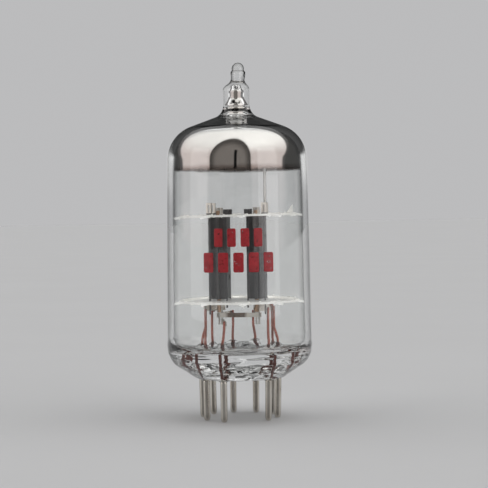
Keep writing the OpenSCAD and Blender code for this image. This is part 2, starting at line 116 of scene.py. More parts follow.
class TubeGlassSettings(bpy.types.PropertyGroup):
    """Sizes and colours of the glass, its silvering and its print."""

    wall: length_prop("Wall", "Thickness of the glass", 0.9 * MM)
    top_r: length_prop("Top radius", "Radius of the bulb just below its shoulder", 10.9 * MM)
    dome_height: length_prop("Dome", "Height from the start of the shoulder to the top", 15.1 * MM)
    shoulder_round: length_prop("Shoulder", "Rounding of the shoulder", 5.5 * MM)
    crown_slope: angle_prop("Crown slope", "Slope between shoulder and tip", 20)
    foot_round: length_prop("Foot", "Rounding of the foot", 3.2 * MM)
    foot_slope: angle_prop("Foot slope", "Slope of the cone under the foot", 33)
    seal_round: length_prop("Seal", "Rounding inside, where wall and stem meet", 1.4 * MM)
    stem_height: length_prop("Stem", "Thickness of the pressed stem", 4.2 * MM)
    tip_r: length_prop("Exhaust tube", "Outer radius of the exhaust tube", 2.05 * MM)
    bore_r: length_prop("Bore", "Radius of the exhaust tube's bore", 0.8 * MM)
    nub_r: length_prop("Nub", "Radius of the drawn-off nub", 1.1 * MM)
    crease_r: length_prop("Crease", "Radius of the crease between the nub and its bead", 0.85 * MM)
    nub_bead_r: length_prop("Nub's bead", "Radius of the melted bead on the nub's end", 0.93 * MM)
    lead_bead_r: length_prop("Lead's bead", "Radius of the glass bead round each lead", 0.95 * MM)
    lead_bead_height: length_prop("Height of a lead's bead", "Height of the bead over the stem", 1.2 * MM)
    ripple: length_prop("Ripple", "Unevenness of the pressed foot", 0.12 * MM)
    print_turn: angle_prop("Print's turn", "Direction that the print faces, from straight ahead", -11)
    glass_colour: colour_prop("Glass", "Colour of the clear glass", (0.975, 0.985, 0.98))
    # Painted shade: the glass is darkened towards this colour where it is seen edge on
    edge_colour: colour_prop(
        "Glass edge", "Colour of the glass where the eye looks along it", (0.03, 0.032, 0.032)
    )
    film_colour: colour_prop("Silvering", "Colour of the getter's mirror", (0.86, 0.83, 0.8))
    film_edge_colour: colour_prop("Silvering's edge", "Colour where it thins out", (0.42, 0.36, 0.33))
    ink_colour: colour_prop("Ink", "Colour of the printed blocks", (0.48, 0.012, 0.022))


class TubeCageSettings(bpy.types.PropertyGroup):
    """Sizes and colours of the pins and of what stands inside the glass."""

    lead_r: length_prop("Lead", "Radius of a lead wire", 0.2 * MM)
    post_r: length_prop("Getter's wire", "Radius of the getter's support wire", 0.21 * MM)
    mica_tilt: angle_prop("Tilt", "Tilt of the upper spacer between the glass walls", 1)
    tilt_turn: angle_prop("Tilt's turn", "Direction in which the spacers rise", -11)
    pin_lean: length_prop("Lean", "How far the pins' points lean towards the axis", 0.12 * MM)
    flakes: IntProperty(name="Flakes", description="Loose flakes round a spacer's rim", default=150, min=0)
    anode_colour: colour_prop("Anode", "Colour of the carbonised anodes", (0.05, 0.05, 0.053))
    mica_colour: colour_prop("Mica", "Colour of the sprayed mica", (0.95, 0.94, 0.91))
    nickel_colour: colour_prop("Nickel", "Colour of tabs, sleeves and pins", (0.62, 0.59, 0.54))
    copper_colour: colour_prop("Copper", "Colour of the leads", (0.5, 0.19, 0.145))


class TubeStageSettings(bpy.types.PropertyGroup):
    """Floor, light tent and camera."""

    floor_colour: colour_prop("Floor", "Colour of the floor", (0.69, 0.706, 0.718))
    backdrop_colour: colour_prop("Backdrop", "Colour behind the floor", (0.5, 0.5, 0.507))
    tent_top: colour_prop("Tent's top", "Colour of the white cloth over the tube", (1.14, 1.13, 1.12), 2)
    tent_low: colour_prop("Tent's sides", "Colour of the cloth low round the tube", (0.7, 0.625, 0.615), 2)
    gap_colour: colour_prop("Gap", "Colour of the gap that the tent leaves in front", (0.2, 0.182, 0.172))
    gap_edge: level_prop("Gap's edge", "Brightness of the gap's edge, where its middle is 1", 0.3)
    back_pale: level_prop("Low behind", "Brightness low and straight behind the tube", 0.88)
    back_dark: level_prop("Behind", "Brightness of the rest of what is behind the tube", 0.07)
    tent_turn: angle_prop("Tent's turn", "Turn of the gap from the camera", -12)
    camera_turn: angle_prop("Camera turn", "Turn of the camera from straight ahead", -11)
    camera_distance: length_prop("Camera distance", "Distance of the camera from the axis", 230 * MM)
    camera_height: length_prop("Camera height", "Height of the camera above the floor", 32.6 * MM)
    camera_roll: angle_prop("Camera roll", "Roll of the camera about its own axis", 0.8)
    camera_lens: FloatProperty(
        name="Lens", description="Focal length of the camera", default=109, unit="CAMERA"
    )


# ---------------------------------------------------------------- shapes


def smoothstep(low, high, x):
    """0 below low, 1 above high, and a smooth rise between."""
    t = min(max((x - low) / (high - low), 0.0), 1.0)
    return t * t * (3 - 2 * t)


def full_turn(count):
    """Evenly spaced angles of one full turn."""
    return [2 * math.pi * i / count for i in range(count)]


def arc(centre_r, centre_z, radius, start, end, steps=24):
    """Points (r, z) of an arc, with its angles in radians."""
    angles = [start + (end - start) * i / steps for i in range(steps + 1)]
    return [(centre_r + radius * math.cos(a), centre_z + radius * math.sin(a)) for a in angles]


def resampled(profile, spacing):
    """The profile with no two points further apart than spacing, a length or a function of a point."""
    points = [profile[0]]
    for here, there in zip(profile, profile[1:]):
        step = spacing(here) if callable(spacing) else spacing
        pieces = max(1, math.ceil(math.hypot(there[0] - here[0], there[1] - here[1]) / step))
        points += [
            (here[0] + (there[0] - here[0]) * i / pieces, here[1] + (there[1] - here[1]) * i / pieces)
            for i in range(1, pieces + 1)
        ]
    return points


def softened(profile, rounds):
    """The profile with its corners eased by averaging neighbours; its ends stay."""
    for _ in range(rounds):
        inner = [
            ((a[0] + 2 * b[0] + c[0]) / 4, (a[1] + 2 * b[1] + c[1]) / 4)
            for a, b, c in zip(profile, profile[1:], profile[2:])
        ]
        profile = [profile[0], *inner, profile[-1]]
    return profile


def offset(profile, distance):
    """The profile moved to its left by distance; points on the axis stay on it."""
    moved = []
    for i, (r, z) in enumerate(profile):
        before, after = profile[max(i - 1, 0)], profile[min(i + 1, len(profile) - 1)]
        dr, dz = after[0] - before[0], after[1] - before[1]
        step = distance / math.hypot(dr, dz)
        moved.append((max(r - dz * step, 0) if r > POLE_R else 0, z + dr * step))
    return moved


def skin(rings):
    """Faces between neighbouring rings; a ring that is one point over and over makes triangles."""
    faces = []
    count = len(rings[0])
    for low, high in zip(rings, rings[1:]):
        for i in range(count):
            j = (i + 1) % count
            face = list(dict.fromkeys((low[i], low[j], high[j], high[i])))
            if len(face) > 2:
                faces.append(face)
    return faces


def lathe(profile, segments, inward=False):
    """Vertices and faces of a profile turned round the Z axis."""
    vertices, rings = [], []
    turns = full_turn(segments)
    for r, z in profile:
        start = len(vertices)
        if r < POLE_R:
            vertices.append(Vector((0, 0, z)))
            rings.append([start] * segments)
        else:
            vertices += [Vector((r * math.cos(a), r * math.sin(a), z)) for a in turns]
            rings.append(range(start, start + segments))
    faces = skin(rings)
    return vertices, [face[::-1] for face in faces] if inward else faces


def joined(*parts):
    """Several (vertices, faces) pairs as one."""
    vertices, faces = [], []
    for more_vertices, more_faces in parts:
        start = len(vertices)
        vertices += more_vertices
        faces += [[start + i for i in face] for face in more_faces]
    return vertices, faces


def rounded(points, radius):
    """A path with its inner corners replaced by arcs."""
    steps = 8
    path = [points[0]]
    for a, b, c in zip(points, points[1:], points[2:]):
        before, after = (b - a).normalized(), (c - b).normalized()
        bend = before.angle(after)
        inward = (after - before * after.dot(before)).normalized() * radius
        start = b - before * radius * math.tan(bend / 2)
        for i in range(steps + 1):
            turn = bend * i / steps
            path.append(start + before * radius * math.sin(turn) + inward * (1 - math.cos(turn)))
    return [*path, points[-1]]


def wire(path, radius):
    """A closed round wire along a path, with slightly domed ends."""
    sides = 20
    first, last = (path[0] - path[1]).normalized(), (path[-1] - path[-2]).normalized()
    path = [path[0] + first * radius / 2, *path, path[-1] + last * radius / 2]
    across = (path[2] - path[1]).normalized().orthogonal().normalized()
    vertices, rings = [], []
    for i, point in enumerate(path):
        before, after = path[max(i - 1, 0)], path[min(i + 1, len(path) - 1)]
        way = (after - before).normalized()
        across = (across - way * across.dot(way)).normalized()
        other = way.cross(across)
        start = len(vertices)
        if i in (0, len(path) - 1):
            vertices.append(point)
            rings.append([start] * sides)
        else:
            vertices += [
                point + radius * (across * math.cos(a) + other * math.sin(a)) for a in full_turn(sides)
            ]
            rings.append(range(start, start + sides))
    return vertices, skin(rings)


def plate(corners, depth):
    """A thin closed sheet: its corners in order, and the vector from this face to the other."""
    count = len(corners)
    faces = [list(range(count))[::-1], [count + i for i in range(count)]]
    faces += [[i, (i + 1) % count, count + (i + 1) % count, count + i] for i in range(count)]
    return [*corners, *(corner + depth for corner in corners)], faces


def add_piece(name, shape, materials, replaces=(), smooth=True):
    """Makes an object of (vertices, faces), which rides on the tube's one body."""
    vertices, faces = shape
    mesh = bpy.data.meshes.new(name)
    mesh.from_pydata([tuple(v) for v in vertices], [], faces)
    mesh.update()
    piece = bpy.data.objects.new(name, mesh)
    bpy.context.scene.collection.objects.link(piece)
    for material in materials:
        mesh.materials.append(material)
    mesh.polygons.foreach_set("use_smooth", [smooth] * len(mesh.polygons))
    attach(piece, "root")
    if replaces:
        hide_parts(*replaces)
    return piece


def finish_nodes(material, *prefixes):
    """Gives the material to every solid whose name starts with one of the prefixes."""
    for prefix in prefixes:
        found = [solid for name, solid in NODES.items() if name.startswith(prefix)]
        if not found:
            raise RuntimeError(f"the frame holds no solid named {prefix}")
        for solid in found:
            solid.data.materials.clear()
            solid.data.materials.append(material)


# ---------------------------------------------------------------- the glass


def dome(glass, depth, tube_r, flare_r, flare_steps=24):
    """Shoulder, crown and the flare into a tube of radius tube_r, at a depth under the outer skin."""
    bend_r = glass.shoulder_round - depth
    bend_c_r, bend_c_z = glass.top_r - glass.shoulder_round, TOP_Z - glass.dome_height
    crown_r = bend_c_r + bend_r * math.sin(glass.crown_slope)
    crown_z = bend_c_z + bend_r * math.cos(glass.crown_slope)
    flare_c_r = tube_r + flare_r
    rise = (crown_r - flare_c_r) * math.tan(glass.crown_slope)
    flare_c_z = crown_z + rise + flare_r / math.cos(glass.crown_slope)
    return [
        *arc(bend_c_r, bend_c_z, bend_r, 0, QUARTER - glass.crown_slope, 32),
        *arc(flare_c_r, flare_c_z, flare_r, 3 * QUARTER - glass.crown_slope, 2 * QUARTER, flare_steps),
    ]


def outer_profile(glass):
    """The glass from the middle of its underside, over the wall and the dome, to the top of the nub."""
    stem_flat_r = STEM_R - (SEAM_Z - SEAT_Z) / math.tan(glass.foot_slope)
    dish_r, dish_depth = 3.2 * MM, 0.5 * MM
    foot_c_r = FOOT_R - glass.foot_round
    cone_z = SEAM_Z + (foot_c_r - STEM_R) * math.tan(glass.foot_slope)
    foot_c_z = cone_z + glass.foot_round / math.cos(glass.foot_slope)
    neck_z, neck_height, neck_steps = TOP_Z - 4.2 * MM, 1.5 * MM, 14
    neck = [
        (
            glass.nub_r + (glass.tip_r - glass.nub_r) * (1 + math.cos(math.pi * i / neck_steps)) / 2,
            neck_z + neck_height * i / neck_steps,
        )
        for i in range(neck_steps + 1)
    ]
    bead_z = TOP_Z - glass.nub_bead_r
    crease_turn = -math.acos(glass.crease_r / glass.nub_bead_r)
    crease_z = bead_z + glass.nub_bead_r * math.sin(crease_turn)
    bulge = glass.nub_r - glass.crease_r
    flare_r = 2 * MM
    return [
        (0, SEAT_Z + dish_depth),
        (dish_r - dish_depth, SEAT_Z + dish_depth),
        (dish_r, SEAT_Z),
        (stem_flat_r, SEAT_Z),
        *arc(foot_c_r, foot_c_z, glass.foot_round, glass.foot_slope - QUARTER, 0),
        *dome(glass, 0, glass.tip_r, flare_r),
        *neck,
        *arc(glass.crease_r, crease_z - bulge, bulge, 0, QUARTER, 6),
        *arc(0, bead_z, glass.nub_bead_r, crease_turn, QUARTER, 16)[1:],
    ]


def cavity_profile(glass):
    """The inside of the glass, from the middle of the stem to the end of the exhaust tube's bore."""
    stem_top = SEAT_Z + glass.stem_height
    wall_low_r = FOOT_R - glass.wall - 0.03 * MM
    seal_c_r, seal_c_z = wall_low_r - glass.seal_round, stem_top + glass.seal_round
    # Below the bore the glass has run in a little, and over that narrow place it bulges
    throat_r, throat_drop = 1.05 * MM, 7.9 * MM
    bulge_r, bulge_drop = 1.25 * MM, 6.7 * MM
    bore_low_drop, bore_end_drop = 5.6 * MM, 3.9 * MM
    flare_r = 1.1 * MM
    return [
        (0, stem_top),
        *arc(seal_c_r, seal_c_z, glass.seal_round, -QUARTER, 0, 12),
        *dome(glass, glass.wall, throat_r, flare_r, 12),
        (throat_r, TOP_Z - throat_drop),
        (bulge_r, TOP_Z - bulge_drop),
        (glass.bore_r, TOP_Z - bore_low_drop),
        *arc(0, TOP_Z - bore_end_drop - glass.bore_r, glass.bore_r, 0, QUARTER, 10),
    ]


def glass_spacing(point):
    """Fine round the pins and in the tip, coarser along the wall."""
    r, z = point
    if z > TOP_Z - 9 * MM:
        return 0.12 * MM
    if r < STEM_R and z < SEAT_Z + 6 * MM:
        return 0.13 * MM
    return 0.3 * MM


def drawn(profile):
    """A glass profile with points close enough for its waves, and its corners melted round."""
    return softened(resampled(profile, glass_spacing), 3)


def uneven(point, seed, ripple):
    """How far out the glass stands at a point: strong waves in the pressed foot, faint ones above."""
    # Heights are in millimetres here, and the noise's factors are waves per millimetre
    x, y, z = (c / MM for c in point)
    r = math.hypot(x, y)
    foot = 1 - smoothstep(11.5, 14, z)
    shoulder = smoothstep(36, 42, z)
    tip = smoothstep(50.5, 52.5, z)
    lines = noise.noise(Vector((x * 0.16 + seed, y * 0.16, z * 1.1 + 0.25 * r)))
    fine = noise.noise(Vector((x * 0.4, y * 0.4 + seed, z * 2.4)))
    slow = noise.noise(Vector((x * 0.13, y * 0.13 + seed, z * 0.13)))
    lump = noise.noise(Vector((x * 0.75 + seed, y * 0.75, z * 0.75)))
    wall_wave, dome_wave, tip_lump = 0.016 * MM, 0.05 * MM, 0.16 * MM
    return (
        foot * ripple * (lines + 0.4 * fine)
        + (wall_wave + shoulder * dome_wave) * slow
        + tip * tip_lump * lump
    )


def tip_lean(z):
    """The drawn-off nub stands a little beside the axis."""
    lean = smoothstep(TOP_Z - 4.4 * MM, TOP_Z - 2.4 * MM, z) * 0.32 * MM
    return Vector((0.98, -0.19, 0)) * lean


def shaped_glass(vertices, seed, glass):
    """Moves turned glass out by its unevenness, and its nub aside."""
    shaped = []
    for v in vertices:
        r = math.hypot(v.x, v.y)
        out = uneven(v, seed, glass.ripple) * smoothstep(0, 1 * MM, r)
        aside = Vector((v.x, v.y, 0)) / r * out if r > POLE_R else Vector()
        shaped.append(v + aside + tip_lean(v.z))
    return shaped


def stem_relief(v, glass):
    """Height of the stem's upper face over its level: a bead round each lead, and slow waves."""
    x, y = v.x / MM, v.y / MM
    slow = noise.noise(Vector((x * 0.35, y * 0.35, 4.2)))
    fine = noise.noise(Vector((x * 0.9, y * 0.9, 1.7)))
    slow_wave, fine_wave = 0.13 * MM, 0.09 * MM
    height = slow_wave * slow + fine_wave * fine
    for pin in PIN_AT:
        gap = (v.to_2d() - pin.to_2d()).length / glass.lead_bead_r
        bead = 0.8 * math.sqrt(max(0, 1 - gap**2)) + 0.2 * math.exp(-(gap**2))
        height += glass.lead_bead_height * bead
    return height


def pin_meniscus(v):
    """Depth by which the glass runs down each pin at the underside."""
    creep, reach = 0.32 * MM, 0.24 * MM
    gaps = [(v.to_2d() - pin.to_2d()).length for pin in PIN_AT]
    return creep * sum(math.exp(-max(gap - PIN_R, 0) / reach) for gap in gaps)


def envelope_shape(glass):
    """The fused glass: an outer skin, and the cavity's own skin inside it."""
    vertices, faces = lathe(drawn(outer_profile(glass)), GLASS_SEGMENTS)
    outside = shaped_glass(vertices, OUTER_SEED, glass)
    underside_z, stem_face_z = SEAT_Z + 0.6 * MM, SEAT_Z + glass.stem_height + 0.3 * MM
    for v, was in zip(outside, vertices):
        if was.z < underside_z:
            v.z -= pin_meniscus(v)
    vertices, inner_faces = lathe(drawn(cavity_profile(glass)), GLASS_SEGMENTS, inward=True)
    inside = shaped_glass(vertices, INNER_SEED, glass)
    relief_r = 7.6 * MM
    for v, was in zip(inside, vertices):
        if was.z < stem_face_z:
            v.z += stem_relief(v, glass) * (1 - smoothstep(relief_r, STEM_R, math.hypot(was.x, was.y)))
    return joined((outside, faces), (inside, inner_faces))


def film_shape(glass):
    """The silvering: a thin skin just inside the dome and the bore, and the count of its outer faces."""
    play, thickness, fading = 0.012 * MM, 0.02 * MM, 1.1 * MM
    high = [point for point in drawn(cavity_profile(glass)) if point[1] > FILM_Z - fading]
    outer, inner = offset(high, play), offset(high, play + thickness)
    vertices, faces = lathe(outer + inner[::-1], GLASS_SEGMENTS)
    start = len(vertices) - GLASS_SEGMENTS
    for i in range(GLASS_SEGMENTS):
        j = (i + 1) % GLASS_SEGMENTS
        faces.append([start + i, start + j, j, i])
    return (shaped_glass(vertices, INNER_SEED, glass), faces), (len(outer) - 1) * GLASS_SEGMENTS


def wall_r(z, glass):
    """Outer radius of the slightly tapered wall, which starts over the foot's rounding."""
    low, high = 10.9 * MM, TOP_Z - glass.dome_height
    return FOOT_R + (glass.top_r - FOOT_R) * (z - low) / (high - low)


def block_shape(turn, middle_z, width, height, glass):
    """One printed block, wrapped on the wall, with round corners and a thin edge."""
    across, up, corner, proud, ink = 14, 16, 0.25 * MM, 0.012 * MM, 0.02 * MM
    vertices, faces = [], []
    for layer in (proud, proud + ink):
        for j in range(up + 1):
            for i in range(across + 1):
                u = width * (i / across - 0.5)
                v = height * (j / up - 0.5)
                du = max(abs(u) - (width / 2 - corner), 0)
                dv = max(abs(v) - (height / 2 - corner), 0)
                reach = math.hypot(du, dv)
                if reach > corner:
                    u -= math.copysign(du - du * corner / reach, u)
                    v -= math.copysign(dv - dv * corner / reach, v)
                r = wall_r(middle_z + v, glass)
                out = Vector((math.cos(turn + u / r), math.sin(turn + u / r), 0))
                point = out * r + Vector((0, 0, middle_z + v))
                vertices.append(point + out * (layer + uneven(point, OUTER_SEED, glass.ripple)))
    row, sheet = across + 1, (across + 1) * (up + 1)
    for j in range(up):
        for i in range(across):
            a = j * row + i
            faces.append([a, a + row, a + row + 1, a + 1])
            faces.append([sheet + a, sheet + a + 1, sheet + a + row + 1, sheet + a + row])
    border = [*range(row), *(j * row + across for j in range(1, up + 1))]
    border += [*(up * row + i for i in range(across - 1, -1, -1)), *(j * row for j in range(up - 1, 0, -1))]
    for a, b in zip(border, border[1:] + border[:1]):
        faces.append([a, b, sheet + b, sheet + a])
    return vertices, faces


# ---------------------------------------------------------------- spacers, pins and wires


def flake(middle, size, chance):
    """A torn scrap of mica, lying about flat."""
    lean = math.radians(50)
    turn = Euler((chance.uniform(-lean, lean), chance.uniform(-lean, lean), chance.uniform(0, 6.3)))
    corners = []
    for a in full_turn(chance.randint(4, 6)):
        reach = size * chance.uniform(0.45, 1)
        corner = Vector((reach * math.cos(a), 0.6 * reach * math.sin(a), 0))
        corner.rotate(turn)
        corners.append(middle + corner)
    depth = Vector((0, 0, 0.03 * MM))
    depth.rotate(turn)
    return plate(corners, depth)


def welded(solid):
    """Vertices and faces of a solid's mesh, with the points that its faces share made one."""
    places, vertices, index = {}, [], []
    cell = 0.001 * MM
    for v in solid.data.vertices:
        key = tuple(round(c / cell) for c in v.co)
        if key not in places:
            places[key] = len(vertices)
            vertices.append(solid.matrix_world @ v.co)
        index.append(places[key])
    faces = [list(dict.fromkeys(index[i] for i in polygon.vertices)) for polygon in solid.data.polygons]
    return vertices, [face for face in faces if len(face) > 2]


def spacer_shape(name, cage, seed, tilt):
    """A spacer: the solid of that name with flakes along its punched rim, and tilted as it sits."""
    vertices, faces = welded(NODES[name])
    rim_r, wall_play = 8.3 * MM, 0.25 * MM
    rim = [v for v in vertices if v.to_2d().length > rim_r]
    reach = max(v.to_2d().length for v in rim) - wall_play
    chance = random.Random(seed)
    parts = [(vertices, faces)]
    for _ in range(cage.flakes):
        at = chance.choice(rim)
        inward = min(1, reach / at.to_2d().length) * chance.uniform(0.975, 1)
        middle = Vector((at.x * inward, at.y * inward, at.z + chance.uniform(-0.08, 0.08) * MM))
        parts.append(flake(middle, chance.uniform(0.12, 0.34) * MM, chance))
    vertices, faces = joined(*parts)
    slope = Vector((math.cos(cage.tilt_turn), math.sin(cage.tilt_turn), 0)) * math.tan(tilt)
    return [v + Vector((0, 0, v.dot(slope))) for v in vertices], faces


def torn_tooth_shape(cage):
    """A splinter of the upper spacer's rim that stands up by the wall."""
    right = Vector((math.cos(cage.tilt_turn), math.sin(cage.tilt_turn), 0))
    near = Vector((right.y, -right.x, 0))
    up = Vector((0, 0, 1))
    # Along the rim and up, in millimetres
    outline = ((0, 0), (0.95, 0), (0.92, 0.55), (0.85, 1.25), (0.62, 0.95), (0.3, 0.4))
    foot = right * 7.25 * MM + near * 4.3 * MM + up * (MICA_TOP_Z + 0.1 * MM)
    corners = [foot + (right * u + up * v + near * 0.25 * v) * MM for u, v in outline]
    return plate(corners, near * -0.1 * MM)


def pin_profile(low_z, high_z):
    """A pin from its rounded point, over its straight length, to the top of its thinner root."""
    root_r, point_r = PIN_R - 0.18 * MM, 0.2 * MM
    tip_z, nose, nose_steps = low_z + 0.03 * MM, 0.62 * MM, 8
    profile = [(0, low_z), (point_r, tip_z)]
    for i in range(1, nose_steps + 1):
        swell = math.sin(QUARTER * i / nose_steps)
        profile.append((point_r + (PIN_R - point_r) * swell, tip_z + nose * (i / nose_steps) ** 1.6))
    root = [(PIN_R, SEAT_Z - 0.1 * MM), (root_r, SEAT_Z + 0.25 * MM), (root_r, high_z), (0, high_z)]
    return resampled([*profile, *root], 0.4 * MM)


def pin_shape(k, cage, chance):
    """Pin number k, which leans a little."""
    low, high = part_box(f"pin_{k}")
    vertices, faces = lathe(pin_profile(low.z, high.z), PIN_SEGMENTS)
    middle = Vector((PIN_AT[k - 1].x, PIN_AT[k - 1].y, 0))
    lean = middle.normalized() * -cage.pin_lean * chance.uniform(0.4, 1.6)
    return [v + middle + lean * max(1 - v.z / SEAT_Z, 0) for v in vertices], faces


def lead_shape(k, glass, cage, chance):
    """Lead number k, from its pin's place in the stem over two bends to its place in the cage."""
    low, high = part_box(f"lead_{k}")
    foot = Vector((PIN_AT[k - 1].x, PIN_AT[k - 1].y, low.z))
    head = Vector((
        high.x - cage.lead_r if high.x - foot.x > foot.x - low.x else low.x + cage.lead_r,
        high.y - cage.lead_r if high.y - foot.y > foot.y - low.y else low.y + cage.lead_r,
        high.z,
    ))
    bead_top = SEAT_Z + glass.stem_height + glass.lead_bead_height
    knee_rise, hip_rise, bend_r = 0.45 * MM, 2.25 * MM, 0.7 * MM
    knee = Vector((foot.x, foot.y, bead_top + knee_rise))
    hip = Vector((head.x, head.y, bead_top + hip_rise))
    for bend in (knee, hip):
        bend += Vector((chance.uniform(-1, 1), chance.uniform(-1, 1), 0)) * 0.05 * MM
    return wire(rounded([foot, knee, hip, head], bend_r), cage.lead_r)


def getter_wire_shape(cage):
    """The support wire, from the cage up into the dome and over to the getter's ring."""
    low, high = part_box("getter_post")
    foot = Vector((high.x - cage.post_r, low.y + cage.post_r, low.z))
    elbow = Vector((foot.x, foot.y, high.z - cage.post_r))
    inset, bend_r = 0.15 * MM, 0.9 * MM
    end = Vector((low.x + inset, high.y - inset, elbow.z))
    return wire(rounded([foot, elbow, end], bend_r), cage.post_r)


# ---------------------------------------------------------------- shader parts


def feed(tree, target, values):
    """Gives a node's inputs, named or numbered, another node's output or a plain value."""
    for key, value in values.items():
        socket = target.inputs[key]
        if isinstance(value, bpy.types.NodeSocket):
            tree.links.new(value, socket)
        elif socket.type == "RGBA":
            socket.default_value = (*value[:3], 1)
        else:
            socket.default_value = value


def node(tree, kind, inputs=None, **settings):
    """Adds a node, sets its properties and feeds its inputs."""
    new = tree.nodes.new(kind)
    for key, value in settings.items():
        setattr(new, key, value)
    feed(tree, new, inputs or {})
    return new


def math_node(tree, operation, *operands, clamp=False):
    """Result of a Math node, whose operands are other nodes' outputs or plain numbers."""
    inputs = dict(enumerate(operands))
    return node(tree, "ShaderNodeMath", inputs, operation=operation, use_clamp=clamp).outputs[0]


def scaled(tree, value, gain, base):
    """A value times a gain, plus a base."""
    return math_node(tree, "MULTIPLY_ADD", value, gain, base)


def vector_node(tree, operation, *operands):
    """Result of a Vector Math node: a vector, or the number that a dot product or a length is."""
    new = node(tree, "ShaderNodeVectorMath", dict(enumerate(operands)), operation=operation)
    return new.outputs["Value" if operation in ("DOT_PRODUCT", "LENGTH") else "Vector"]


def ramp(tree, value, low, high, start=0.0, end=1.0, smooth=False):
    """Start up to where a value is low, end from where it is high, and a rise between."""
    inputs = {"Value": value, "From Min": low, "From Max": high, "To Min": start, "To Max": end}
    kind = "SMOOTHSTEP" if smooth else "LINEAR"
    return node(tree, "ShaderNodeMapRange", inputs, interpolation_type=kind).outputs[0]


def mix_colour(tree, factor, a, b):
    """Colour a where the factor is 0, and b where it is 1."""
    return node(tree, "ShaderNodeMix", {0: factor, 6: a, 7: b}, data_type="RGBA").outputs[2]


def own_place(tree):
    """Coordinates of the object's own frame."""
    return node(tree, "ShaderNodeTexCoord").outputs["Object"]


def coordinate(tree, axis):
    """One of the coordinates of the object's own frame."""
    return node(tree, "ShaderNodeSeparateXYZ", {0: own_place(tree)}).outputs[axis]


def grain(tree, per_mm, detail):
    """Noise over the object, with its grains per millimetre."""
    inputs = {"Vector": own_place(tree), "Scale": per_mm / MM, "Detail": detail}
    return node(tree, "ShaderNodeTexNoise", inputs).outputs[0]


def facing(tree):
    """0 where the surface faces the eye, 1 where the eye looks along it."""
    return node(tree, "ShaderNodeLayerWeight", {"Blend": 0.5}).outputs["Facing"]


def bump(tree, height, strength, distance):
    """Normal of a surface with a relief."""
    inputs = {"Height": height, "Strength": strength, "Distance": distance}
    return node(tree, "ShaderNodeBump", inputs).outputs[0]


def group(name, inputs, outputs):
    """An empty shader node group, the sockets that give its inputs, and the node that takes its results."""
    tree = bpy.data.node_groups.new(name, "ShaderNodeTree")
    for label, default in inputs.items():
        kind = "NodeSocketFloat" if isinstance(default, float) else "NodeSocketColor"
        tree.interface.new_socket(label, in_out="INPUT", socket_type=kind).default_value = default
    for label, kind in outputs.items():
        tree.interface.new_socket(label, in_out="OUTPUT", socket_type=kind)
    return tree, tree.nodes.new("NodeGroupInput").outputs, tree.nodes.new("NodeGroupOutput")


def mottle_group():
    """Cloudy variation between two colours, with a mask, at a stated scale per millimetre."""
    tree, given, result = group(
        "mottle",
        {
            "Colour": (0.5, 0.5, 0.5, 1),
            "Stain": (0.3, 0.3, 0.3, 1),
            "Scale": 1.0,
            "Amount": 0.5,
            "Stretch": 1.0,
        },
        {"Colour": "NodeSocketColor", "Mask": "NodeSocketFloat"},
    )
    per_mm = math_node(tree, "MULTIPLY", given["Scale"], 1 / MM)
    upright = math_node(tree, "MULTIPLY", per_mm, given["Stretch"])
    scale = node(tree, "ShaderNodeCombineXYZ", {0: per_mm, 1: per_mm, 2: upright})
    scaled = vector_node(tree, "MULTIPLY", own_place(tree), scale.outputs[0])
    inputs = {"Vector": scaled, "Scale": 1.0, "Detail": 4.0, "Roughness": 0.6}
    cloud = node(tree, "ShaderNodeTexNoise", inputs).outputs[0]
    mask = math_node(tree, "MULTIPLY", ramp(tree, cloud, 0.35, 0.7), given["Amount"], clamp=True)
    feed(tree, result, {"Colour": mix_colour(tree, mask, given["Colour"], given["Stain"]), "Mask": mask})
    return tree


def wear_group():
    """Mask of the sharp edges, broken up by noise, where a finish rubs off."""
    tree, given, result = group(
        "edge_wear", {"Width": 0.08 * MM, "Amount": 1.0}, {"Mask": "NodeSocketFloat"}
    )
    bevel = node(tree, "ShaderNodeBevel", {"Radius": given["Width"]}, samples=4)
    plain = node(tree, "ShaderNodeNewGeometry")
    bend = vector_node(tree, "DOT_PRODUCT", bevel.outputs[0], plain.outputs["Normal"])
    broken = math_node(tree, "MULTIPLY", ramp(tree, bend, 0.99, 0.8), grain(tree, 1.6, 3.0))
    strong = math_node(tree, "MULTIPLY", broken, 1.6)
    feed(tree, result, {"Mask": math_node(tree, "MULTIPLY", strong, given["Amount"], clamp=True)})
    return tree


def height_group():
    """0 below one height, 1 above another, with a ragged line between; heights are in metres."""
    tree, given, result = group(
        "height_fade",
        {"Low": 0.0, "High": 1 * MM, "Ragged": 0.3 * MM, "Scale": 0.6},
        {"Mask": "NodeSocketFloat"},
    )
    per_mm = math_node(tree, "MULTIPLY", given["Scale"], 1 / MM)
    inputs = {"Vector": own_place(tree), "Scale": per_mm, "Detail": 3.0}
    cloud = node(tree, "ShaderNodeTexNoise", inputs).outputs[0]
    centred = math_node(tree, "SUBTRACT", cloud, 0.5)
    shift = math_node(tree, "MULTIPLY", centred, given["Ragged"])
    level = math_node(tree, "ADD", coordinate(tree, "Z"), shift)
    feed(tree, result, {"Mask": ramp(tree, level, given["Low"], given["High"], smooth=True)})
    return tree


def use_group(tree, name, maker, values):
    """Results of a shared group that is given its own values here; the group is made the first time."""
    shared = bpy.data.node_groups.get(name) or maker()
    return node(tree, "ShaderNodeGroup", values, node_tree=shared).outputs


def mottle(tree, colour, stain, scale, amount, stretch=1.0):
    """A cloudy colour, and the mask of its stains."""
    values = {"Colour": colour, "Stain": stain, "Scale": scale, "Amount": amount, "Stretch": stretch}
    results = use_group(tree, "mottle", mottle_group, values)
    return results["Colour"], results["Mask"]


def worn_edges(tree, width, amount):
    """Mask of the edges where a finish rubs off."""
    return use_group(tree, "edge_wear", wear_group, {"Width": width, "Amount": amount})["Mask"]


